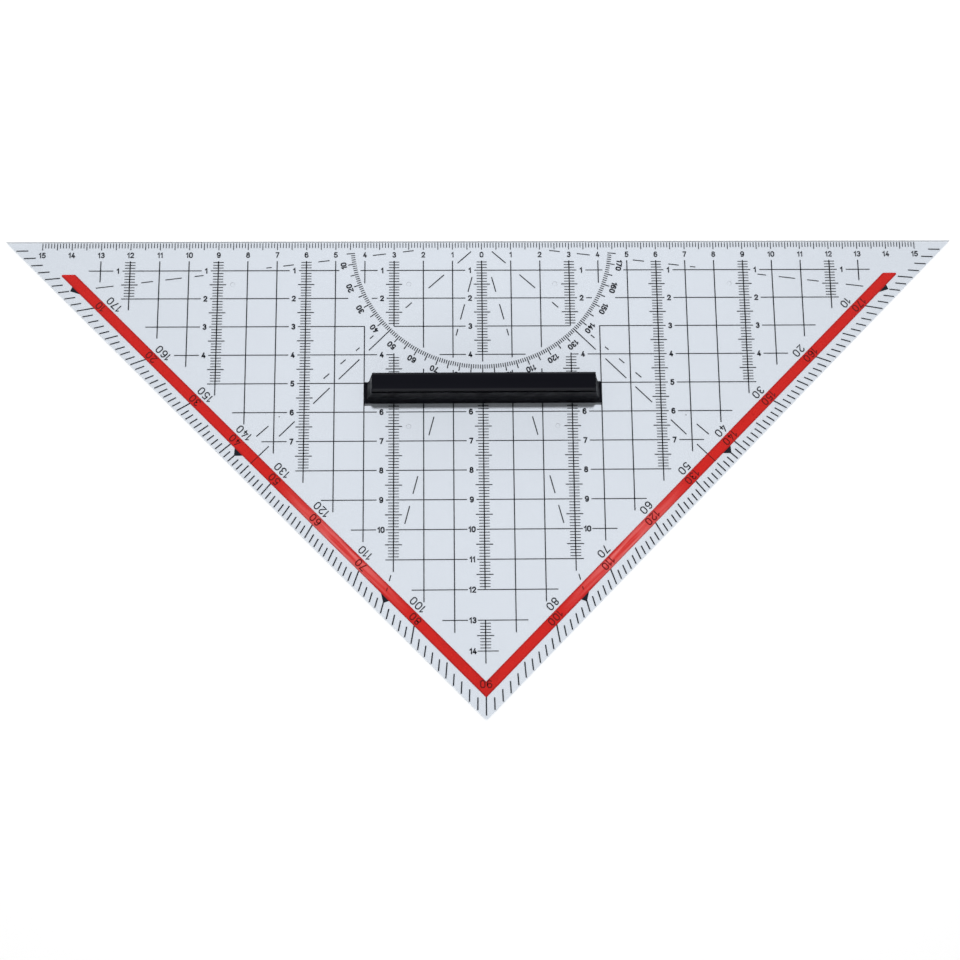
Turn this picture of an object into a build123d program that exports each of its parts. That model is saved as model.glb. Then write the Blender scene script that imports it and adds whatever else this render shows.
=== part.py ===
from build123d import *
import math
import os

# Clear 45 degree drafting set square with a lift-off grip bar.
# Frame: millimetres, +Z up. The origin is the centre of the footprint, on the surface that the
# set square lies on. +X runs along the hypotenuse, and +Y points from the apex to the hypotenuse.
# A "setback" is a distance from the hypotenuse edge, measured towards the apex.

# Plate
hypotenuse = 324.4          # outside length of the ruling edge
plate_thickness = 2.0
apex_radius = 1.0           # rounding of the 90 degree corner
edge_break = 0.05           # chamfer around the top face

# Stand-off nubs that keep the printed underside off wet ink
nub_height = 0.15
nub_foot_radius = 0.72
nub_root_radius = 0.8
nub_row_near = 15.0         # setback of the row of four
nub_row_far = 65.0          # setback of the row of two
nub_inner_x = 25.0
nub_outer_x = 85.0

# Grip bar
grip_setback = 53.87        # setback of the bar's centre line
grip_height = 14.5
foot_length = 79.7
foot_width = 7.25
foot_edge = 1.0             # height of the foot's upright edge
top_length = 72.9
top_width = 6.3
top_rounding = 0.6
lip_height = 0.7            # lip that the fingertips catch under
groove_height = 1.9         # gap between the lip and the shoulder
groove_depth = 1.2
shoulder_rounding = 0.15
waist_depth = 0.5           # how far the side walls draw in below the shoulder
flare_top = 5.5             # height where the side walls start to sweep out to the foot
flange_width = 0.6          # flat step on the foot at each end
side_step = 0.1             # flat step on the foot along each side
side_bow = 0.3              # hollow of the sweep along each side
end_bow = 0.35              # hollow of each sloping end

# Snap pegs under the grip, and the holes they sit in
peg_spacing = 50.0
peg_radius = 2.5
peg_clearance = 0.05
peg_length = 1.8
peg_tip_chamfer = 0.3
peg_slot_width = 0.8        # saw cut that lets the peg squeeze through its hole
peg_slot_depth = 1.5

# Printed films on the underside
film = 0.05
stripe_outer = 5.15         # stripe edges, measured square to the leg
stripe_inner = 8.8
stripe_start = 11.3         # setback of the stripe's cut ends
stripe_rounding = 0.4
arrow_angles = (7.0, 42.0, 75.0)
arrow_base = 3.7            # along the stripe
arrow_reach = 2.0           # from the stripe out to the tip, along the drawing angle

# Worked-out places
diagonal = math.sqrt(2)
half_hypotenuse = hypotenuse / 2
plate_depth = half_hypotenuse - apex_radius * (diagonal - 1)
edge_y = plate_depth / 2
plate_top = nub_height + plate_thickness
film_bottom = nub_height - film


def at(x, setback):
    """Plan point from its distance along the ruling edge and its setback from that edge."""
    return (x, edge_y - setback)


def in_both_halves(x, setback):
    """The same plan point on the left and on the right."""
    return [at(-x, setback), at(x, setback)]


def peg_points():
    return in_both_halves(peg_spacing / 2, grip_setback)


def nub_points():
    near = in_both_halves(nub_inner_x, nub_row_near) + in_both_halves(nub_outer_x, nub_row_near)
    return near + in_both_halves(nub_inner_x, nub_row_far)


def plate():
    """Clear triangular plate with two peg holes, and six nubs under it."""
    outline = make_face(Polyline(*in_both_halves(half_hypotenuse, 0), at(0, half_hypotenuse), close=True))
    outline = fillet(outline.vertices().sort_by(Axis.Y)[0], apex_radius)
    body = Pos(0, 0, nub_height) * extrude(outline, plate_thickness)
    body = chamfer(body.faces().sort_by(Axis.Z)[-1].edges(), edge_break)
    hole = Cylinder(peg_radius + peg_clearance, 3 * plate_thickness)
    nub = Cone(nub_foot_radius, nub_root_radius, nub_height)
    for x, y in peg_points():
        body -= Pos(x, y, nub_height) * hole
    for x, y in nub_points():
        body += Pos(x, y, nub_height / 2) * nub
    return body


def hollow_arc(start, end, bow):
    """Arc between two points of a right-hand outline, bowed in towards the bar's middle."""
    run = Vector(*end) - Vector(*start)
    inward = Vector(-run.Y, run.X).normalized()
    middle = (Vector(*start) + Vector(*end)) * 0.5 + inward * bow
    return ThreePointArc(start, middle, end)


def symmetric_face(right, bottom_half, top_half):
    """Closed face from a right-hand outline, its mirror image, and the lines that join them."""
    left = [mirror(edge, Plane.YZ) for edge in right]
    bottom = Line((-bottom_half, 0), (bottom_half, 0))
    top = Line((-top_half, grip_height), (top_half, grip_height))
    return make_face(right + left + [bottom, top])


def rounded_top(face):
    corners = face.vertices().group_by(Axis.Y)[-1]
    return fillet(corners, top_rounding)


def cross_section():
    """The bar across its width: foot, sweep, waist, shoulder, finger groove, and lip."""
    foot = foot_width / 2
    top = top_width / 2
    waist = top - waist_depth
    groove = top - groove_depth
    lip_bottom = grip_height - lip_height
    shoulder_top = lip_bottom - groove_height
    outline = [
        ((foot, 0), (foot, foot_edge)),
        ((foot, foot_edge), (foot - side_step, foot_edge)),
        ((waist, flare_top), (top, shoulder_top)),
        ((top, shoulder_top), (groove, shoulder_top)),
        ((groove, shoulder_top), (groove, lip_bottom)),
        ((groove, lip_bottom), (top, lip_bottom)),
        ((top, lip_bottom), (top, grip_height)),
    ]
    right = [Line(start, end) for start, end in outline]
    right.append(hollow_arc((foot - side_step, foot_edge), (waist, flare_top), side_bow))
    face = rounded_top(symmetric_face(right, foot, top))
    level = face.vertices().filter_by_position(Axis.Y, shoulder_top - 0.01, shoulder_top + 0.01)
    shoulders = [corner for corner in level if abs(corner.X) > groove + 0.1]
    return fillet(shoulders, shoulder_rounding)


def long_section():
    """The bar along its length: foot, end step, and hollow sloping end."""
    foot = foot_length / 2
    top = top_length / 2
    step = foot - flange_width
    right = [
        Line((foot, 0), (foot, foot_edge)),
        Line((foot, foot_edge), (step, foot_edge)),
        hollow_arc((step, foot_edge), (top, grip_height), end_bow),
    ]
    return rounded_top(symmetric_face(right, foot, top))


def snap_peg():
    """Split peg, its top at height zero."""
    peg = Pos(0, 0, -peg_length / 2) * Cylinder(peg_radius, peg_length)
    peg = chamfer(peg.edges().group_by(Axis.Z)[0], peg_tip_chamfer)
    slot = Box(3 * peg_radius, peg_slot_width, peg_slot_depth)
    return peg - Pos(0, 0, peg_slot_depth / 2 - peg_length) * slot


def grip():
    """Black bar, moulded in one piece with the two pegs that hold it in the plate."""
    across = extrude(Plane.YZ * cross_section(), foot_length, both=True)
    along = extrude(Plane.XZ * long_section(), foot_width, both=True)
    bar = across & along
    body = Pos(*at(0, grip_setback), plate_top) * bar
    for x, y in peg_points():
        body += Pos(x, y, plate_top) * snap_peg()
    return body


def red_border():
    """Red stripe printed inside both legs, as one film that meets under the apex."""
    outer_tip = half_hypotenuse - stripe_outer * diagonal
    inner_tip = half_hypotenuse - stripe_inner * diagonal
    outer_x = outer_tip - stripe_start
    inner_x = inner_tip - stripe_start
    left_outer, right_outer = in_both_halves(outer_x, stripe_start)
    left_inner, right_inner = in_both_halves(inner_x, stripe_start)
    outer_corner = at(0, outer_tip)
    inner_corner = at(0, inner_tip)
    outer = [left_outer, outer_corner, right_outer]
    inner = [right_inner, inner_corner, left_inner]
    stripe = make_face(Polyline(*outer, *inner, close=True))
    stripe = fillet(stripe.vertices().group_by(Axis.Y)[-1], stripe_rounding)
    return Pos(0, 0, film_bottom) * extrude(stripe, film)


def arrow(side, angle):
    """Triangle that stands on the stripe and points out at a drawing angle, read from the zero mark."""
    direction = (math.cos(math.radians(angle)), math.sin(math.radians(angle)))
    base = (half_hypotenuse - stripe_outer * diagonal) / sum(direction)
    tip = base + arrow_reach
    middle_x, middle_setback = base * direction[0], base * direction[1]
    shift = arrow_base / 2 / diagonal
    corners = [
        (tip * direction[0], tip * direction[1]),
        (middle_x - shift, middle_setback + shift),
        (middle_x + shift, middle_setback - shift),
    ]
    outline = [at(side * x, setback) for x, setback in corners]
    return Pos(0, 0, film_bottom) * extrude(make_face(Polyline(*outline, close=True)), film)


def angle_arrows():
    return Compound(children=[arrow(side, angle) for side in (-1, 1) for angle in arrow_angles])


os.makedirs("parts", exist_ok=True)
sub_parts = {
    "plate": plate(),
    "grip": grip(),
    "red_border": red_border(),
    "angle_arrows": angle_arrows(),
}
for name, shape in sub_parts.items():
    export_step(shape, f"parts/{name}.step")
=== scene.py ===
import math
import bpy
from mathutils import Matrix, Vector


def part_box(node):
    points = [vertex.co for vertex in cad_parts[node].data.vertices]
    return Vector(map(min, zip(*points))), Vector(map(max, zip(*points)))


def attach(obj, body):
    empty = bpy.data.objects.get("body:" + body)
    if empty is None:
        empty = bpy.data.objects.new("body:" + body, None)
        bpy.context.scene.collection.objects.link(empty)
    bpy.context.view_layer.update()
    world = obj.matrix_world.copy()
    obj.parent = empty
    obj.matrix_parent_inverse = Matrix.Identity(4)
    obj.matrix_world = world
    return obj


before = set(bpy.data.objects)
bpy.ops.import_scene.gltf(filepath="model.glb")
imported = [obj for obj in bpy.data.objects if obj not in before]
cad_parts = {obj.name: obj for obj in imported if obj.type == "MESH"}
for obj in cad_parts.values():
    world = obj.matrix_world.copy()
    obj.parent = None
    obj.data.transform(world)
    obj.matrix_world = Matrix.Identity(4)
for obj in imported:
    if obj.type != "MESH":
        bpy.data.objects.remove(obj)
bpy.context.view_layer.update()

# Clear 45 degree set square with black and red print on its underside and a black lift-off grip.
# The print is laid out in centimetres as a user reads it: x along the ruling edge from the zero
# mark, and setback from the ruling edge towards the apex.

# Units
millimetre = 0.001
centimetre = 0.01

# Places from the frame
plate_low, plate_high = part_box("plate")
film_low, film_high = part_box("red_border")
ruling_edge_y = plate_high.y
half_hypotenuse = (plate_high.x - plate_low.x) / 2 / centimetre
film_gap = 0.002 * millimetre           # keeps the black print's faces off the plate's underside
black_low = film_low.z
black_high = film_high.z - film_gap
overprint_low = film_low.z - film_gap   # print that shows on both faces of the red stripe
overprint_high = film_high.z + film_gap

# Line widths, in centimetres
grid_line = 0.028
ladder_line = 0.029
ladder_tick_line = 0.024
ladder_five_line = 0.030
edge_tick_line = 0.0205
edge_five_line = 0.022
leg_tick_line = 0.034
protractor_line = 0.0245
protractor_long_line = 0.027
guide_line = 0.0275
upright_gain = 1.29                     # lines print this much bolder when square to the ruling edge

# Centimetre grid
grid_reach = 14.4                       # a line ends where x plus setback comes to this
short_reach = 14.26
short_rows = (2, 5, 8, 11)
grid_start = 0.655
ladder_columns = (0, 3, 6, 9, 12)
ladder_label_shift = 0.41
label_gap = 0.155                       # half of the gap that a grid row leaves for a label
column_gaps = {
    0: [(4.25, 4.6), (12.0, 13.0)],
    1: [(4.11, 4.55)],
    2: [(3.75, 4.5)],
    3: [(3.0, 3.95)],
    4: [(1.46, 3.0)],
}
row_gaps = {1: (4.15, 4.87), 2: (3.76, 4.56), 3: (3.0, 3.99), 4: (1.46, 3.0)}
last_row = (14, -0.267, 0.42)

# Numerals, each as its height and its stroke
edge_numeral = (0.2, 0.037)
grid_numeral = (0.205, 0.044)
leg_numeral = (0.278, 0.037)
stripe_numeral = (0.272, 0.044)
edge_number_setback = 0.435

# Millimetre ticks: along the ruling edge, by length, and across the ladders, by half length
edge_tick_start = 0.01
edge_tick_length = 0.18
edge_five_length = 0.25
ladder_tick_half = 0.177
ladder_five_half = 0.28
ladder_overrun = 0.3                    # how far a ladder's middle line passes its last tick, in mm

# Protractor
protractor_inner = 4.36
protractor_short = 4.5
protractor_long = 4.645
protractor_label = 4.795

# Leg scales, as distances square to the leg
leg_tick_start = 0.04
leg_tick_one = 0.33
leg_tick_five = 0.43
leg_tick_ten = 0.55
stripe_label_inset = 0.705
inner_label_inset = 1.085
apex_label_setback = 15.06
apex_tick = (15.45, 16.06)

# Red stripe, square to the leg, and the stretch from the apex where a paler, streaky glare is painted on it
stripe_outer = 0.515
stripe_inner = 0.88
glare_stretch = (4.2, 10.4)
glare_fade = 2.8

# Guide lines, as stretches along a ray from the zero mark
guide_rays = {
    7: [(2.35, 2.72), (3.31, 3.76), (5.25, 5.64), (6.48, 6.84), (7.23, 7.42), (9.57, 9.87),
        (10.31, 10.87), (11.29, 11.69), (12.63, 13.23)],
    42: [(0.48, 1.11), (1.74, 2.45), (3.22, 3.5), (4.97, 5.13), (5.6, 5.76), (6.23, 6.46),
         (6.96, 7.22), (9.17, 9.2), (9.66, 10.19)],
    45: [(4.4, 5.44), (5.89, 6.86), (7.29, 8.06), (8.92, 9.64), (10.12, 10.59)],
    75: [(1.29, 1.84), (2.3, 2.86), (3.21, 3.45), (6.39, 7.05), (8.49, 9.11), (9.53, 10.15),
         (11.91, 12.11)],
}
stripe_rays = {45: [(10.62, 10.96)], 75: [(12.33, 12.45)]}

# Clear sheet
acrylic_ior = 1.49

# Painted highlight along the grip's lip: outside a distance from the bar's middle, and above a depth from
# its top
lip_highlight_across = (2.2 * millimetre, 2.6 * millimetre)
lip_highlight_depth = (0.8 * millimetre, 0.6 * millimetre)

# Camera, from the zero mark, over the print as it shows through the plate
camera_side = -1.122 * centimetre
camera_setback = 17.31 * centimetre
camera_height = 442.55 * millimetre
camera_target = (-1.32 * millimetre, -2.56 * millimetre, 0.85 * millimetre)
camera_lens = 50.88
camera_roll = math.radians(-0.59)


# ---------------------------------------------------------------- shader helpers

def new_material(name):
    material = bpy.data.materials.new(name)
    material.use_nodes = True
    nodes = material.node_tree.nodes
    return material, nodes, material.node_tree.links, nodes["Principled BSDF"]


def object_position(nodes):
    return nodes.new("ShaderNodeTexCoord").outputs["Object"]


def noise(nodes, links, vector, scale, detail=3.0, stretch=None):
    """Noise over object space; scale is features per metre."""
    texture = nodes.new("ShaderNodeTexNoise")
    texture.inputs["Scale"].default_value = scale
    texture.inputs["Detail"].default_value = detail
    if stretch:
        mapping = nodes.new("ShaderNodeMapping")
        mapping.inputs["Scale"].default_value = stretch
        links.new(vector, mapping.inputs["Vector"])
        vector = mapping.outputs["Vector"]
    links.new(vector, texture.inputs["Vector"])
    return texture.outputs["Fac"]


def remap(nodes, links, value, low, high, start=0.35, end=0.65):
    """Value between start and end, turned into low to high."""
    node = nodes.new("ShaderNodeMapRange")
    node.inputs["From Min"].default_value = start
    node.inputs["From Max"].default_value = end
    node.inputs["To Min"].default_value = low
    node.inputs["To Max"].default_value = high
    links.new(value, node.inputs["Value"])
    return node.outputs["Result"]


def blend_colours(nodes, links, factor, first, second):
    """Mix of two colours, each a tuple or another node's output."""
    node = nodes.new("ShaderNodeMix")
    node.data_type = "RGBA"
    links.new(factor, node.inputs["Factor"])
    for name, colour in (("A", first), ("B", second)):
        socket = next(s for s in node.inputs if s.name == name and s.type == "RGBA")
        if isinstance(colour, tuple):
            socket.default_value = (*colour, 1.0)
        else:
            links.new(colour, socket)
    return next(s for s in node.outputs if s.type == "RGBA")


def calculate(nodes, links, operation, first, second):
    """A sum on two values, each a number or another node's output."""
    node = nodes.new("ShaderNodeMath")
    node.operation = operation
    for socket, value in zip(node.inputs, (first, second)):
        if isinstance(value, float):
            socket.default_value = value
        else:
            links.new(value, socket)
    return node.outputs["Value"]


def bump(nodes, links, height, strength, distance, principled):
    node = nodes.new("ShaderNodeBump")
    node.inputs["Strength"].default_value = strength
    node.inputs["Distance"].default_value = distance
    links.new(height, node.inputs["Height"])
    links.new(node.outputs["Normal"], principled.inputs["Normal"])


# ---------------------------------------------------------------- materials

def mill_edges(nodes, links, glass):
    """The clear shader on the level faces, and a paler matt one on the upright milled edges."""
    facing = nodes.new("ShaderNodeSeparateXYZ")
    links.new(nodes.new("ShaderNodeTexCoord").outputs["Normal"], facing.inputs["Vector"])
    level = calculate(nodes, links, "ABSOLUTE", facing.outputs["Z"], 0.0)
    milled = nodes.new("ShaderNodeBsdfPrincipled")
    cutter_marks = noise(nodes, links, object_position(nodes), 900.0, 3.0)
    pale = blend_colours(nodes, links, cutter_marks, (0.955, 0.970, 0.985), (0.985, 0.990, 0.995))
    links.new(pale, milled.inputs["Base Color"])
    milled.inputs["IOR"].default_value = acrylic_ior
    links.new(remap(nodes, links, cutter_marks, 0.42, 0.6), milled.inputs["Roughness"])
    mix = nodes.new("ShaderNodeMixShader")
    links.new(remap(nodes, links, level, 0.0, 1.0, 0.3, 0.6), mix.inputs[0])
    links.new(milled.outputs["BSDF"], mix.inputs[1])
    links.new(glass.outputs["BSDF"], mix.inputs[2])
    return mix.outputs["Shader"]


def clear_acrylic():
    """Clear sheet with a cool tint, painted shade that greys it towards its ends, and pale milled edges.

    Light reaches the print through it.
    """
    material, nodes, links, glass = new_material("clear_acrylic")
    haze = noise(nodes, links, object_position(nodes), 22.0, 4.0)
    tint = blend_colours(nodes, links, haze, (0.858, 0.888, 0.930), (0.884, 0.910, 0.944))
    parts = nodes.new("ShaderNodeSeparateXYZ")
    links.new(object_position(nodes), parts.inputs["Vector"])
    # Painted shade: the tint greys towards the sheet's ends in place of the light falling off there
    side = calculate(nodes, links, "ABSOLUTE", parts.outputs["X"], 0.0)
    painted_falloff = remap(nodes, links, side, 0.0, 1.0, 0.04, 0.15)
    tint = blend_colours(nodes, links, painted_falloff, tint, (0.825, 0.852, 0.886))
    links.new(tint, glass.inputs["Base Color"])
    glass.inputs["Transmission Weight"].default_value = 1.0
    glass.inputs["IOR"].default_value = acrylic_ior
    glass.inputs["Roughness"].default_value = 0.015
    scratches = noise(nodes, links, object_position(nodes), 60.0, 6.0, (1.0, 14.0, 1.0))
    bump(nodes, links, scratches, 0.04, 2e-6, glass)
    clear = nodes.new("ShaderNodeBsdfTransparent")
    clear.inputs["Color"].default_value = (0.902, 0.918, 0.939, 1.0)
    path = nodes.new("ShaderNodeLightPath")
    shader = mill_edges(nodes, links, glass)
    for ray in ("Is Diffuse Ray", "Is Shadow Ray"):
        mix = nodes.new("ShaderNodeMixShader")
        links.new(path.outputs[ray], mix.inputs[0])
        links.new(shader, mix.inputs[1])
        links.new(clear.outputs["BSDF"], mix.inputs[2])
        shader = mix.outputs["Shader"]
    links.new(shader, nodes["Material Output"].inputs["Surface"])
    return material


def worn_lip(nodes, links, place):
    """One along both rounded top edges of the grip's lip, where a highlight is painted, and nought
    elsewhere.
    """
    low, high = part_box("grip")
    parts = nodes.new("ShaderNodeSeparateXYZ")
    links.new(place, parts.inputs["Vector"])
    across = calculate(nodes, links, "SUBTRACT", parts.outputs["Y"], (low[1] + high[1]) / 2)
    across = calculate(nodes, links, "ABSOLUTE", across, 0.0)
    outer = remap(nodes, links, across, 0.0, 1.0, *lip_highlight_across)
    start, end = (high[2] - depth for depth in lip_highlight_depth)
    upper = remap(nodes, links, parts.outputs["Z"], 0.0, 1.0, start, end)
    return calculate(nodes, links, "MULTIPLY", outer, upper)


def black_plastic():
    """Satin black moulding with a fine spark texture, faint flow streaks along the bar, and a painted
    highlight along both top edges of its lip.
    """
    material, nodes, links, shader = new_material("black_plastic")
    place = object_position(nodes)
    streaks = noise(nodes, links, place, 90.0, 5.0, (0.25, 3.0, 3.0))
    colour = blend_colours(nodes, links, streaks, (0.0043, 0.0044, 0.0065), (0.0083, 0.0087, 0.0119))
    # Painted highlight: the lip's rounded top edges get a lighter colour in place of the light they would
    # catch
    highlight_mask = worn_lip(nodes, links, place)
    colour = blend_colours(nodes, links, highlight_mask, colour, (0.0200, 0.0205, 0.0235))
    links.new(colour, shader.inputs["Base Color"])
    shader.inputs["Specular IOR Level"].default_value = 0.02
    patches = noise(nodes, links, place, 260.0, 4.0)
    links.new(remap(nodes, links, patches, 0.3, 0.42), shader.inputs["Roughness"])
    bump(nodes, links, noise(nodes, links, place, 2600.0, 2.0), 0.12, 1.2e-5, shader)
    return material


def ink(name, colour, thin_colour, rough_low, rough_high):
    """Screen-printed ink: a little uneven in colour and gloss, with a faint grain."""
    material, nodes, links, shader = new_material(name)
    place = object_position(nodes)
    cover = noise(nodes, links, place, 700.0, 4.0)
    links.new(blend_colours(nodes, links, cover, colour, thin_colour), shader.inputs["Base Color"])
    gloss = noise(nodes, links, place, 300.0, 3.0)
    links.new(remap(nodes, links, gloss, rough_low, rough_high), shader.inputs["Roughness"])
    bump(nodes, links, noise(nodes, links, place, 4000.0, 2.0), 0.1, 4e-6, shader)
    return material


def along_and_across_leg(nodes, links):
    """How far a point of either leg's stripe lies along the leg and inwards across it, in metres."""
    parts = nodes.new("ShaderNodeSeparateXYZ")
    links.new(object_position(nodes), parts.inputs["Vector"])
    side = calculate(nodes, links, "ABSOLUTE", parts.outputs["X"], 0.0)
    setback = calculate(nodes, links, "SUBTRACT", ruling_edge_y, parts.outputs["Y"])
    from_apex = calculate(nodes, links, "SUBTRACT", half_hypotenuse * centimetre, setback)
    along = calculate(nodes, links, "ADD", side, from_apex)
    across = calculate(nodes, links, "SUBTRACT", from_apex, side)
    return [calculate(nodes, links, "MULTIPLY", value, math.sqrt(0.5)) for value in (along, across)]


def red_print():
    """Red ink, darker at the stripe's edges, with a painted glare, paler and streaky, over a stretch of
    each leg.
    """
    material = ink("red_ink", (0.80, 0.028, 0.021), (0.68, 0.021, 0.017), 0.22, 0.34)
    nodes, links = material.node_tree.nodes, material.node_tree.links
    shader = nodes["Principled BSDF"]
    colour = shader.inputs["Base Color"].links[0].from_socket
    along, across = along_and_across_leg(nodes, links)
    place = nodes.new("ShaderNodeCombineXYZ")
    links.new(along, place.inputs["X"])
    links.new(across, place.inputs["Y"])
    # Painted reflection: a paler, streaky band on each leg's stripe stands in for the glare of a lamp
    streaks = noise(nodes, links, place.outputs["Vector"], 1000.0, 3.0, (0.06, 1.0, 1.0))
    near, far = (position * centimetre for position in glare_stretch)
    fade = glare_fade * centimetre
    rise = remap(nodes, links, along, 0.0, 1.0, near, near + fade)
    fall = remap(nodes, links, along, 1.0, 0.0, far - fade, far)
    stretch = calculate(nodes, links, "MULTIPLY", rise, fall)
    painted_glare = calculate(nodes, links, "MULTIPLY", stretch, remap(nodes, links, streaks, 0.1, 0.85, 0.38, 0.62))
    colour = blend_colours(nodes, links, painted_glare, colour, (1.0, 0.22, 0.20))
    middle, half = (stripe_inner + stripe_outer) / 2, (stripe_inner - stripe_outer) / 2
    off_middle = calculate(nodes, links, "SUBTRACT", across, middle * centimetre)
    off_middle = calculate(nodes, links, "ABSOLUTE", off_middle, 0.0)
    edge = remap(nodes, links, off_middle, 0.0, 0.55, (half - 0.07) * centimetre, half * centimetre)
    colour = blend_colours(nodes, links, edge, colour, (0.26, 0.010, 0.012))
    links.new(colour, shader.inputs["Base Color"])
    return material


def floor_material():
    """Plain matt white, with a faint unevenness in tone and texture."""
    material, nodes, links, shader = new_material("white_floor")
    tone = noise(nodes, links, object_position(nodes), 12.0, 3.0)
    colour = blend_colours(nodes, links, tone, (0.892, 0.892, 0.892), (0.908, 0.908, 0.908))
    links.new(colour, shader.inputs["Base Color"])
    links.new(remap(nodes, links, tone, 0.85, 0.95), shader.inputs["Roughness"])
    shader.inputs["Specular IOR Level"].default_value = 0.0
    return material


# ---------------------------------------------------------------- printed lines as thin closed prisms

def spot(x, setback):
    """Plan point in metres from a place on the print in centimetres."""
    return Vector((x * centimetre, ruling_edge_y - setback * centimetre))


def on_ray(side, angle, reach):
    """Place on the print along a ray from the zero mark, on the left (-1) or the right (1)."""
    turn = math.radians(angle)
    return (side * reach * math.cos(turn), reach * math.sin(turn))


def reach_to_leg(angle, inset):
    """How far along a ray a place lies that is inset square to the leg."""
    turn = math.radians(angle)
    return (half_hypotenuse - inset * math.sqrt(2)) / (math.cos(turn) + math.sin(turn))


def unit(vector):
    return vector.normalized() if vector.length else Vector((1.0, 0.0))


def edge_points(path, half_width, closed):
    """Left and right edge of a ribbon along a path, mitred at its corners."""
    pairs = []
    last = len(path) - 1
    for i, point in enumerate(path):
        before = path[i - 1] if i > 0 or closed else None
        after = path[(i + 1) % len(path)] if i < last or closed else None
        ahead = unit(after - point) if after is not None else unit(point - before)
        behind = unit(point - before) if before is not None else ahead
        along = unit(ahead + behind)
        mitre = half_width / max(along.dot(ahead), 0.6)
        across = Vector((-along.y, along.x)) * mitre
        pairs.append((point + across, point - across))
    return pairs


def round_end(point, outwards, half_width):
    """Edge pairs that narrow to a round tip, from the widest to the narrowest."""
    across = Vector((-outwards.y, outwards.x))
    pairs = []
    for step in (30, 60, 84):
        turn = math.radians(step)
        centre = point + outwards * half_width * math.sin(turn)
        offset = across * half_width * math.cos(turn)
        pairs.append((centre + offset, centre - offset))
    return pairs


class Print:
    """Lines of one colour and one purpose, collected into one mesh."""

    def __init__(self, low, high):
        self.low = low
        self.high = high
        self.points = []
        self.faces = []

    def ribbon(self, path, width, closed=False, rounded=False):
        """A thin prism along plan points in metres."""
        half_width = width / 2
        pairs = edge_points(path, half_width, closed)
        if rounded and not closed:
            start = round_end(path[0], unit(path[0] - path[1]), half_width)
            finish = round_end(path[-1], unit(path[-1] - path[-2]), half_width)
            pairs = [(right, left) for left, right in reversed(start)] + pairs + finish
        first = len(self.points)
        for left, right in pairs:
            self.points += [
                (left.x, left.y, self.low),
                (right.x, right.y, self.low),
                (right.x, right.y, self.high),
                (left.x, left.y, self.high),
            ]
        count = len(pairs)
        for i in range(count if closed else count - 1):
            here = first + 4 * i
            there = first + 4 * ((i + 1) % count)
            for k in range(4):
                after = (k + 1) % 4
                self.faces.append((there + k, there + after, here + after, here + k))
        if not closed:
            end = first + 4 * (count - 1)
            self.faces.append((first, first + 1, first + 2, first + 3))
            self.faces.append((end + 3, end + 2, end + 1, end))

    def line(self, start, finish, width):
        """A straight line between two places on the print; places and width in centimetres."""
        path = [spot(*start), spot(*finish)]
        uprightness = abs(unit(path[1] - path[0]).y)
        self.ribbon(path, width * (1 + (upright_gain - 1) * uprightness) * centimetre)

    def number(self, text, place, numeral, turn=0.0):
        """A numeral string centred on a place, turned anticlockwise by an angle in degrees."""
        height, stroke = numeral
        scale = (height - stroke) * centimetre
        widths = [digit_shapes[digit][0] for digit in text]
        total = sum(widths) + digit_space * (len(text) - 1)
        spin = Matrix.Rotation(math.radians(turn), 2)
        centre = spot(*place)
        x = -total / 2
        for digit, width in zip(text, widths):
            for points, closed in digit_shapes[digit][1]:
                path = [centre + spin @ (Vector((x + px, py - 0.5)) * scale) for px, py in points]
                self.ribbon(path, stroke * centimetre, closed, rounded=True)
            x += width + digit_space

    def piece(self, name, material):
        """The finished mesh, printed on the plate."""
        mesh = bpy.data.meshes.new(name)
        mesh.from_pydata(self.points, [], self.faces)
        mesh.update()
        mesh.materials.append(material)
        printed = bpy.data.objects.new(name, mesh)
        bpy.context.scene.collection.objects.link(printed)
        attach(printed, "plate_body")
        return printed


# ---------------------------------------------------------------- numerals in the drawing-office style

digit_space = 0.36


def arc(x, y, x_radius, y_radius, start, finish, step=15):
    """Points of an elliptical arc, in degrees, with y up from the baseline."""
    count = max(2, round(abs(finish - start) / step))
    angles = [math.radians(start + (finish - start) * i / count) for i in range(count + 1)]
    return [(x + x_radius * math.cos(a), y + y_radius * math.sin(a)) for a in angles]


def loop(x, y, x_radius, y_radius):
    return arc(x, y, x_radius, y_radius, 0, 345)


def upside_down(points, width):
    return [(width - x, 1 - y) for x, y in points]


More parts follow.
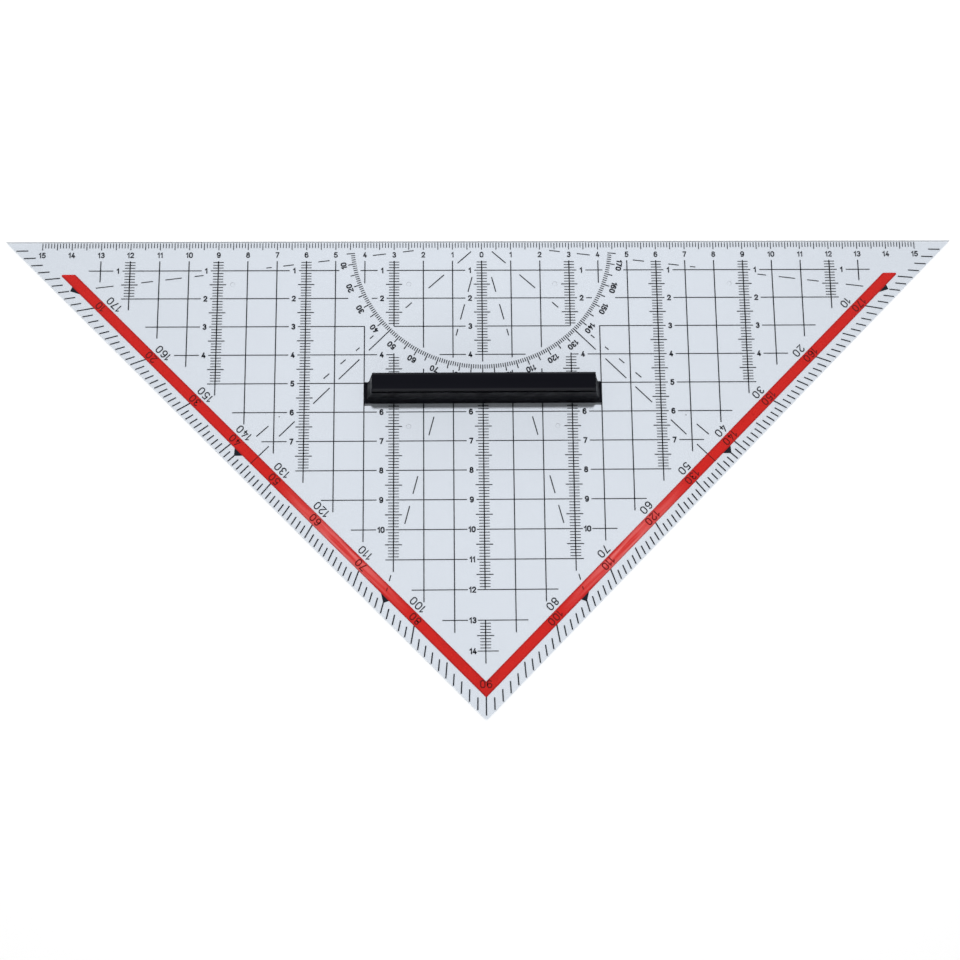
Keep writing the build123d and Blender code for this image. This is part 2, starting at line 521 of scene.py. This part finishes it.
def numerals():
    """Width and strokes of each digit, one unit high between the outer stroke centres."""
    zero = arc(0.3, 0.7, 0.3, 0.3, 0, 180) + arc(0.3, 0.3, 0.3, 0.3, 180, 360)
    one = [(0.0, 0.74), (0.26, 1.0), (0.26, 0.0)]
    two = arc(0.29, 0.71, 0.29, 0.29, 170, -35) + [(0.0, 0.0), (0.6, 0.0)]
    three = arc(0.29, 0.755, 0.25, 0.245, 155, -80) + arc(0.29, 0.27, 0.29, 0.27, 80, -155)
    four = [(0.36, 1.0), (0.0, 0.25), (0.6, 0.25)]
    four_stem = [(0.43, 0.52), (0.43, 0.0)]
    five = [(0.54, 1.0), (0.1, 1.0), (0.05, 0.55)] + arc(0.28, 0.31, 0.31, 0.31, 135, -150)
    six_bowl = loop(0.3, 0.3, 0.3, 0.3)
    six_stem = arc(0.3, 0.62, 0.3, 0.38, 45, 180) + [(0.0, 0.3)]
    seven = [(0.0, 1.0), (0.58, 1.0), (0.2, 0.0)]
    return {
        "0": (0.6, [(zero, True)]),
        "1": (0.26, [(one, False)]),
        "2": (0.6, [(two, False)]),
        "3": (0.58, [(three, False)]),
        "4": (0.6, [(four, False), (four_stem, False)]),
        "5": (0.59, [(five, False)]),
        "6": (0.6, [(six_bowl, True), (six_stem, False)]),
        "7": (0.58, [(seven, False)]),
        "8": (0.6, [(loop(0.3, 0.765, 0.24, 0.235), True), (loop(0.3, 0.27, 0.3, 0.27), True)]),
        "9": (0.6, [(upside_down(six_bowl, 0.6), True), (upside_down(six_stem, 0.6), False)]),
    }


digit_shapes = numerals()


# ---------------------------------------------------------------- the scales

def black_print():
    return Print(black_low, black_high)


def outside(gaps, start, finish):
    """Stretches of start to finish that no gap covers."""
    stretches = []
    for low, high in sorted(gaps):
        if high <= start or low >= finish:
            continue
        if low > start:
            stretches.append((start, low))
        start = high
    if start < finish:
        stretches.append((start, finish))
    return stretches


def edge_scale():
    """Millimetre ticks along the ruling edge."""
    scale = black_print()
    for tick in range(-150, 151):
        five = tick % 5 == 0
        end, width = (edge_five_length, edge_five_line) if five else (edge_tick_length, edge_tick_line)
        scale.line((tick / 10, edge_tick_start), (tick / 10, end), width)
    return scale


def edge_numbers():
    numbers = black_print()
    for value in range(-15, 16):
        numbers.number(str(abs(value)), (value, edge_number_setback), edge_numeral)
    return numbers


def labelled_rows(column):
    """Grid rows that carry a number beside a ladder."""
    last = 14 if column == 0 else 13 - column
    return [row for row in range(1, last + 1) if (column, row) != (3, 3)]


def label_places():
    """Each ladder label's value and place. The middle ladder has its labels on the left only."""
    for column in ladder_columns:
        for row in labelled_rows(column):
            yield row, (-column - ladder_label_shift, row)
            if column:
                yield row, (column + ladder_label_shift, row)


def grid():
    """Centimetre grid, broken for the labels and the protractor."""
    lines = black_print()
    for column in range(-13, 14):
        gaps = column_gaps.get(abs(column), [])
        for start, finish in outside(gaps, grid_start, grid_reach - abs(column)):
            lines.line((column, start), (column, finish), grid_line)
    for row in range(1, 14):
        reach = (short_reach if row in short_rows else grid_reach) - row
        gaps = [(x - label_gap, x + label_gap) for _, (x, at_row) in label_places() if at_row == row]
        if row in row_gaps:
            near, far = row_gaps[row]
            gaps += [(near, far), (-far, -near)]
        for start, finish in outside(gaps, -reach, reach):
            lines.line((start, row), (finish, row), grid_line)
    row, start, finish = last_row
    lines.line((start, row), (finish, row), grid_line)
    return lines


def ladder_stretches(column):
    """Millimetre ranges of a ladder's ticks."""
    if column == 0:
        return [(7, 39), (51, 119), (131, 139)]
    if column == 3:
        return [(7, 29), (41, 109)]
    return [(7, 10 * (14 - column) - 1)]


def ladders():
    """Millimetre ticks across every third grid line, and the bolder middle line of each."""
    ticks = black_print()
    for column in ladder_columns:
        for side in (-1, 1) if column else (1,):
            x = side * column
            for start, finish in ladder_stretches(column):
                top, bottom = (start - ladder_overrun) / 10, (finish + ladder_overrun) / 10
                ticks.line((x, top), (x, bottom), ladder_line)
                for tick in range(start, finish + 1):
                    if tick % 10:
                        five = tick % 5 == 0
                        half = ladder_five_half if five else ladder_tick_half
                        width = ladder_five_line if five else ladder_tick_line
                        ticks.line((x - half, tick / 10), (x + half, tick / 10), width)
    return ticks


def grid_numbers():
    numbers = black_print()
    for value, place in label_places():
        numbers.number(str(value), place, grid_numeral)
    return numbers


def protractor_ticks():
    """Degree ticks of the half circle round the zero mark."""
    ticks = black_print()
    for degree in range(5, 176):
        long = degree % 5 == 0
        outer = protractor_long if long else protractor_short
        width = protractor_long_line if long else protractor_line
        ticks.line(on_ray(1, degree, protractor_inner), on_ray(1, degree, outer), width)
    return ticks


def outward_turn(side, angle):
    """Turn that points a numeral's top away from the zero mark."""
    ray = math.radians(angle)
    return math.degrees(math.atan2(-side * math.cos(ray), -math.sin(ray)))


def protractor_numbers():
    numbers = black_print()
    for angle in range(10, 90, 10):
        for side, value in ((-1, angle), (1, 180 - angle)):
            place = on_ray(side, angle, protractor_label)
            numbers.number(str(value), place, grid_numeral, outward_turn(side, angle))
    return numbers


def leg_ticks():
    """Degree ticks along both legs, each on its ray from the zero mark."""
    ticks = black_print()
    for side in (-1, 1):
        for angle in range(1, 90):
            if angle % 10 == 0:
                inset = leg_tick_ten
            else:
                inset = leg_tick_five if angle % 5 == 0 else leg_tick_one
            start = on_ray(side, angle, reach_to_leg(angle, leg_tick_start))
            finish = on_ray(side, angle, reach_to_leg(angle, inset))
            ticks.line(start, finish, leg_tick_line)
    ticks.line((0, apex_tick[0]), (0, apex_tick[1]), leg_tick_line)
    return ticks


def leg_number_turn(side):
    """Numerals beside a leg stand with their tops towards the leg."""
    return 180 + side * 45


def leg_labels(numbers, inset, numeral, left_rises):
    """Ten-degree labels along both legs; the left ones count up or down towards the apex."""
    for angle in range(10, 90, 10):
        for side in (-1, 1):
            value = angle if (side == -1) == left_rises else 180 - angle
            place = on_ray(side, angle, reach_to_leg(angle, inset))
            numbers.number(str(value), place, numeral, leg_number_turn(side))
    return numbers


def inner_leg_numbers():
    return leg_labels(black_print(), inner_label_inset, leg_numeral, left_rises=False)


def stripe_numbers():
    """Numerals that show through the red stripe."""
    numbers = Print(overprint_low, overprint_high)
    leg_labels(numbers, stripe_label_inset, stripe_numeral, left_rises=True)
    numbers.number("90", (0, apex_label_setback), stripe_numeral, 180)
    return numbers


def guide_lines(lines, rays):
    """Broken lines along a few rays on both sides."""
    for angle, stretches in rays.items():
        for side in (-1, 1):
            for start, finish in stretches:
                lines.line(on_ray(side, angle, start), on_ray(side, angle, finish), guide_line)
    return lines


def print_scales():
    """All the print that is not a CAD node."""
    black = ink("black_ink", (0.012, 0.013, 0.018), (0.022, 0.024, 0.032), 0.35, 0.5)
    dark_red = ink("black_under_red_ink", (0.13, 0.008, 0.009), (0.20, 0.012, 0.011), 0.25, 0.36)
    scales = {
        "edge_scale": (edge_scale(), black),
        "edge_numbers": (edge_numbers(), black),
        "centimetre_grid": (grid(), black),
        "millimetre_ladders": (ladders(), black),
        "grid_numbers": (grid_numbers(), black),
        "protractor_ticks": (protractor_ticks(), black),
        "protractor_numbers": (protractor_numbers(), black),
        "leg_ticks": (leg_ticks(), black),
        "leg_numbers": (inner_leg_numbers(), black),
        "guide_lines": (guide_lines(black_print(), guide_rays), black),
        "stripe_numbers": (stripe_numbers(), dark_red),
        "stripe_guide_lines": (guide_lines(Print(overprint_low, overprint_high), stripe_rays), dark_red),
    }
    for name, (scale, material) in scales.items():
        scale.piece(name, material)
    return black


# ---------------------------------------------------------------- CAD nodes

def give(node, material):
    """Gives a CAD node its material."""
    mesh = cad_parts[node].data
    mesh.materials.clear()
    mesh.materials.append(material)


def soften_edges(node, width):
    """Rounds a moulding's sharp edges with modifiers, so that they catch the light."""
    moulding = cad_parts[node]
    weld = moulding.modifiers.new("weld", "WELD")
    weld.merge_threshold = 1e-6
    bevel = moulding.modifiers.new("soft_edges", "BEVEL")
    bevel.width = width
    bevel.segments = 3
    bevel.limit_method = "ANGLE"
    bevel.angle_limit = math.radians(35)
    moulding.modifiers.new("normals", "WEIGHTED_NORMAL")


# ---------------------------------------------------------------- stage

def white_floor():
    """Wide level sheet, a hair under the nubs."""
    half = 8.0
    drop = -0.02 * millimetre
    corners = [(-half, -half, drop), (half, -half, drop), (half, half, drop), (-half, half, drop)]
    mesh = bpy.data.meshes.new("floor")
    mesh.from_pydata(corners, [], [(0, 1, 2, 3)])
    mesh.materials.append(floor_material())
    floor = bpy.data.objects.new("floor", mesh)
    bpy.context.scene.collection.objects.link(floor)


def studio_world():
    """Bright pale surroundings that darken towards the zenith, so that level faces show no glare."""
    world = bpy.data.worlds.new("studio")
    world.use_nodes = True
    bpy.context.scene.world = world
    nodes, links = world.node_tree.nodes, world.node_tree.links
    place = nodes.new("ShaderNodeTexCoord")
    parts = nodes.new("ShaderNodeSeparateXYZ")
    links.new(place.outputs["Generated"], parts.inputs["Vector"])
    strength = remap(nodes, links, parts.outputs["Z"], 0.485, 0.056, 0.5, 0.95)
    links.new(strength, nodes["Background"].inputs["Strength"])
    nodes["Background"].inputs["Color"].default_value = (1.0, 1.0, 1.0, 1.0)


def overhead_softbox():
    """Small lamp above and just behind the grip. It lights the scene but shows in no reflection."""
    light = bpy.data.lights.new("softbox", "AREA")
    light.shape = "DISK"
    light.size = 0.08
    light.energy = 14.3
    lamp = bpy.data.objects.new("softbox", light)
    lamp.location = (0.0, 0.158, 1.25)
    lamp.rotation_mode = "QUATERNION"
    lamp.rotation_quaternion = (-lamp.location).to_track_quat("-Z", "Y")
    lamp.visible_glossy = False
    lamp.visible_transmission = False
    bpy.context.scene.collection.objects.link(lamp)


def camera():
    """Almost straight down, from the apex side."""
    data = bpy.data.cameras.new("camera")
    data.lens = camera_lens
    data.sensor_width = 36.0
    data.clip_start = 0.01
    holder = bpy.data.objects.new("camera", data)
    bpy.context.scene.collection.objects.link(holder)
    place = Vector((camera_side, ruling_edge_y - camera_setback, camera_height))
    forward = (Vector(camera_target) - place).normalized()
    right = forward.cross(Vector((0.0, 1.0, 0.0))).normalized()
    up = right.cross(forward)
    turned = Matrix((right, up, -forward)).transposed() @ Matrix.Rotation(camera_roll, 3, "Z")
    holder.matrix_world = Matrix.Translation(place) @ turned.to_4x4()
    bpy.context.scene.camera = holder


black = print_scales()
give("plate", clear_acrylic())
give("grip", black_plastic())
give("red_border", red_print())
give("angle_arrows", black)
soften_edges("grip", 0.12 * millimetre)
white_floor()
studio_world()
overhead_softbox()
camera()
bpy.context.scene.view_settings.view_transform = "Standard"
